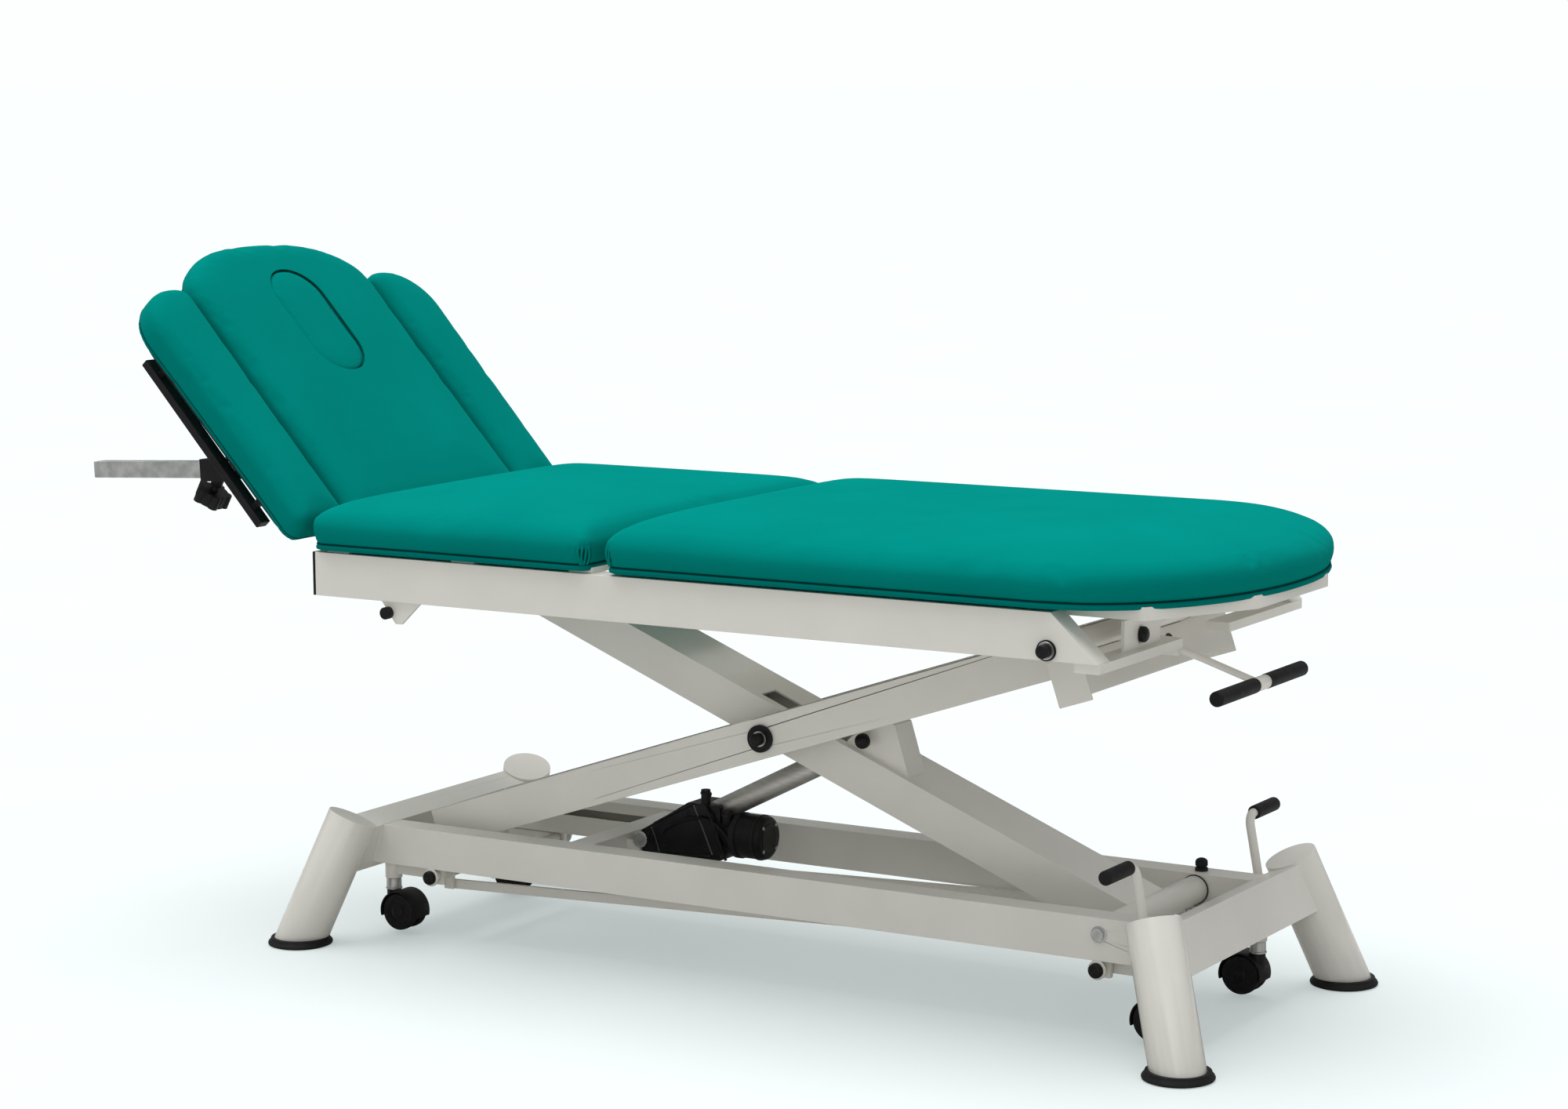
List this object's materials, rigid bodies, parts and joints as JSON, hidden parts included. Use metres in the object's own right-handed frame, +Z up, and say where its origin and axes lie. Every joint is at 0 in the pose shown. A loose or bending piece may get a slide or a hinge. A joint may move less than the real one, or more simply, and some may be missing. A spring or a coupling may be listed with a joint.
{
  "type": "examination couch",
  "caption": "Electric scissor-lift examination couch with a long leg section, a raised backrest with a face plug, sliding arm pads and pedal-lowered castors.",
  "frame": {"origin": "on the floor, under the middle of the couch's bounding box", "axes": "+X towards the foot end, +Y to the left of a person lying on their back with the head at -X, +Z up"},
  "size_m": [1.8806, 0.7, 1.0424],
  "materials": {
    "off_white_paint": "powder coat, fine texture",
    "black_plastic": "matte",
    "black_rubber": "matte",
    "teal_vinyl": "grained vinyl, soft sheen",
    "zinc_steel": "bright zinc plate",
    "grey_plastic": "moulded",
    "grey_aluminium": "anodised, satin",
    "plywood": "raw ply"
  },
  "bodies": {
    "base": {"base_rails": "off_white_paint", "base_cross_members": "off_white_paint", "legs": "off_white_paint", "rubber_feet_and_buffer": "black_rubber", "base_pivot_bolts": "zinc_steel", "castor_bearing_lugs": "off_white_paint"},
    "castor_head": {"castor_shaft_head": "off_white_paint"},
    "castor_foot": {"castor_shaft_foot": "off_white_paint"},
    "castor_links": {"castor_links": "off_white_paint"},
    "pedals": {"pedal_lever": "off_white_paint", "pedal_grips": "black_rubber"},
    "inner_arm": {"inner_arm": "off_white_paint", "base_pivot_tube": "off_white_paint", "inner_arm_axle": "zinc_steel", "actuator_bracket": "off_white_paint"},
    "upper_rollers": {"upper_rollers": "black_plastic"},
    "outer_arms": {"outer_arms": "off_white_paint", "centre_stubs": "black_plastic", "outer_arm_axle": "zinc_steel", "upper_cross_beam": "off_white_paint", "upper_pivot_tube": "off_white_paint"},
    "base_rollers": {"base_rollers": "black_plastic"},
    "actuator": {"actuator_housing": "grey_plastic", "actuator_motor": "black_plastic", "actuator_tube": "grey_aluminium"},
    "actuator_rod": {"actuator_rod": "zinc_steel"},
    "upper_frame": {"upper_rails": "off_white_paint", "rail_end_caps": "black_plastic", "upper_pivot_bolts": "black_plastic", "frame_cross_bars": "off_white_paint", "seat_board": "plywood", "seat_pad": "teal_vinyl"},
    "release_lever": {"release_lever": "off_white_paint", "lever_grips": "black_rubber"},
    "leg_section": {"leg_tray": "off_white_paint", "leg_pad": "teal_vinyl"},
    "gas_spring_body": {"gas_spring_body": "black_plastic"},
    "gas_spring_rod": {"gas_spring_rod": "zinc_steel"},
    "backrest": {"backrest_board": "plywood", "backrest_pad": "teal_vinyl", "backrest_frame": "off_white_paint", "clamp_sockets": "black_plastic"},
    "face_plug": {"face_plug": "teal_vinyl"},
    "arm_right": {"arm_tube_right": "zinc_steel", "arm_bar_right": "black_plastic", "arm_pad_right": "teal_vinyl"},
    "knob_right": {"clamp_knob_right": "black_plastic"},
    "fork_head_right": {"castor_fork_head_right": "black_plastic"},
    "wheel_head_right": {"castor_wheel_head_right": "black_rubber"},
    "fork_foot_right": {"castor_fork_foot_right": "black_plastic"},
    "wheel_foot_right": {"castor_wheel_foot_right": "black_rubber"},
    "arm_left": {"arm_tube_left": "zinc_steel", "arm_bar_left": "black_plastic", "arm_pad_left": "teal_vinyl"},
    "knob_left": {"clamp_knob_left": "black_plastic"},
    "fork_head_left": {"castor_fork_head_left": "black_plastic"},
    "wheel_head_left": {"castor_wheel_head_left": "black_rubber"},
    "fork_foot_left": {"castor_fork_foot_left": "black_plastic"},
    "wheel_foot_left": {"castor_wheel_foot_left": "black_rubber"}
  },
  "joints": [
    {"name": "lift", "type": "hinge", "parent": "base", "child": "inner_arm", "pos_m": [0.71032, 0, 0.1498], "axis": [0, 1, 0], "range_deg": [-7.2, 15]},
    {"name": "scissor_cross", "type": "hinge", "parent": "inner_arm", "child": "outer_arms", "pos_m": [0.13828, 0, 0.35552], "axis": [0, 1, 0], "range_deg": [-30.2, 15.8]},
    {"name": "frame_level", "type": "hinge", "parent": "outer_arms", "child": "upper_frame", "pos_m": [0.71032, 0, 0.56124], "axis": [0, 1, 0], "range_deg": [-7.9, 15.1]},
    {"name": "upper_rollers_roll", "type": "hinge", "parent": "inner_arm", "child": "upper_rollers", "pos_m": [-0.43375, 0, 0.56124], "axis": [0, 1, 0], "continuous": true},
    {"name": "base_rollers_roll", "type": "hinge", "parent": "outer_arms", "child": "base_rollers", "pos_m": [-0.43375, 0, 0.1498], "axis": [0, 1, 0], "continuous": true},
    {"name": "actuator_tilt", "type": "hinge", "parent": "base", "child": "actuator", "pos_m": [-0.12768, -0.02, 0.15], "axis": [0, -1, 0], "range_deg": [-4.7, 8.9]},
    {"name": "actuator_stroke", "type": "slide", "parent": "actuator", "child": "actuator_rod", "axis": [0.8917, 0, 0.4526], "range_m": [-0.0552, 0.1062]},
    {"name": "pedals_press", "type": "hinge", "parent": "base", "child": "pedals", "pos_m": [0.78831, 0, 0.14], "axis": [0, -1, 0], "range_deg": [0, 12]},
    {"name": "castor_links_slide", "type": "slide", "parent": "base", "child": "castor_links", "axis": [0.9994, 0, 0.0357], "range_m": [0, 0.0036]},
    {"name": "castor_foot_lower", "type": "hinge", "parent": "base", "child": "castor_foot", "pos_m": [0.70832, 0, 0.1005], "axis": [0, 1, 0], "range_deg": [0, 10]},
    {"name": "castor_head_lower", "type": "hinge", "parent": "base", "child": "castor_head", "pos_m": [-0.41169, 0, 0.1005], "axis": [0, -1, 0], "range_deg": [0, 10]},
    {"name": "castor_swivel_head_right", "type": "hinge", "parent": "castor_head", "child": "fork_head_right", "pos_m": [-0.50669, -0.145, 0.1005], "axis": [0, 0, 1], "continuous": true},
    {"name": "castor_roll_head_right", "type": "hinge", "parent": "fork_head_right", "child": "wheel_head_right", "pos_m": [-0.48668, -0.145, 0.035], "axis": [0, 1, 0], "continuous": true},
    {"name": "castor_swivel_head_left", "type": "hinge", "parent": "castor_head", "child": "fork_head_left", "pos_m": [-0.50669, 0.145, 0.1005], "axis": [0, 0, 1], "continuous": true},
    {"name": "castor_roll_head_left", "type": "hinge", "parent": "fork_head_left", "child": "wheel_head_left", "pos_m": [-0.48668, 0.145, 0.035], "axis": [0, 1, 0], "continuous": true},
    {"name": "castor_swivel_foot_right", "type": "hinge", "parent": "castor_foot", "child": "fork_foot_right", "pos_m": [0.80332, -0.145, 0.1005], "axis": [0, 0, 1], "continuous": true},
    {"name": "castor_roll_foot_right", "type": "hinge", "parent": "fork_foot_right", "child": "wheel_foot_right", "pos_m": [0.78331, -0.145, 0.035], "axis": [0, 1, 0], "continuous": true},
    {"name": "castor_swivel_foot_left", "type": "hinge", "parent": "castor_foot", "child": "fork_foot_left", "pos_m": [0.80332, 0.145, 0.1005], "axis": [0, 0, 1], "continuous": true},
    {"name": "castor_roll_foot_left", "type": "hinge", "parent": "fork_foot_left", "child": "wheel_foot_left", "pos_m": [0.78331, 0.145, 0.035], "axis": [0, 1, 0], "continuous": true},
    {"name": "backrest_tilt", "type": "hinge", "parent": "upper_frame", "child": "backrest", "pos_m": [-0.53668, 0, 0.637], "axis": [0, 1, 0], "range_deg": [-47.5, 32.5]},
    {"name": "arm_right_slide", "type": "slide", "parent": "backrest", "child": "arm_right", "axis": [-0.9987, 0, -0.0506], "range_m": [0, 0.014]},
    {"name": "knob_right_turn", "type": "hinge", "parent": "backrest", "child": "knob_right", "pos_m": [-0.69464, -0.3, 0.71943], "axis": [-0.4695, 0, -0.8829], "range_deg": [-180, 180]},
    {"name": "arm_left_slide", "type": "slide", "parent": "backrest", "child": "arm_left", "axis": [-0.9987, 0, -0.0506], "range_m": [0, 0.014]},
    {"name": "knob_left_turn", "type": "hinge", "parent": "backrest", "child": "knob_left", "pos_m": [-0.69464, 0.3, 0.71943], "axis": [-0.4695, 0, -0.8829], "range_deg": [-180, 180]},
    {"name": "face_plug_lift", "type": "slide", "parent": "backrest", "child": "face_plug", "axis": [0.7373, 0, 0.6756], "range_m": [0, 0.08]},
    {"name": "leg_section_raise", "type": "hinge", "parent": "upper_frame", "child": "leg_section", "pos_m": [0.03032, 0, 0.608], "axis": [0, -1, 0], "range_deg": [0, 30]},
    {"name": "gas_spring_tilt", "type": "hinge", "parent": "upper_frame", "child": "gas_spring_body", "pos_m": [0.48831, 0.03, 0.567], "axis": [0, 1, 0], "range_deg": [0, 16.5]},
    {"name": "gas_spring_stroke", "type": "slide", "parent": "gas_spring_body", "child": "gas_spring_rod", "axis": [-0.9982, 0, 0.0606], "range_m": [0, 0.0275]},
    {"name": "release_lever_pull", "type": "hinge", "parent": "upper_frame", "child": "release_lever", "pos_m": [0.76231, -0.062, 0.532], "axis": [0, -1, 0], "range_deg": [0, 8], "stiffness_Nm_per_rad": 2, "springref_deg": -20.05}
  ],
  "couplings": [
    {"joint": "scissor_cross", "follows": "lift", "ratio": -2},
    {"joint": "frame_level", "follows": "lift", "ratio": 1},
    {"joint": "actuator_tilt", "follows": "lift", "ratio": 0.58},
    {"joint": "actuator_stroke", "follows": "lift", "m_per_rad": 0.401},
    {"joint": "castor_links_slide", "follows": "pedals_press", "m_per_rad": 0.01664},
    {"joint": "castor_foot_lower", "follows": "pedals_press", "ratio": 0.83},
    {"joint": "castor_head_lower", "follows": "pedals_press", "ratio": 0.83},
    {"joint": "gas_spring_tilt", "follows": "leg_section_raise", "ratio": 0.544},
    {"joint": "gas_spring_stroke", "follows": "leg_section_raise", "m_per_rad": 0.0516}
  ]
}
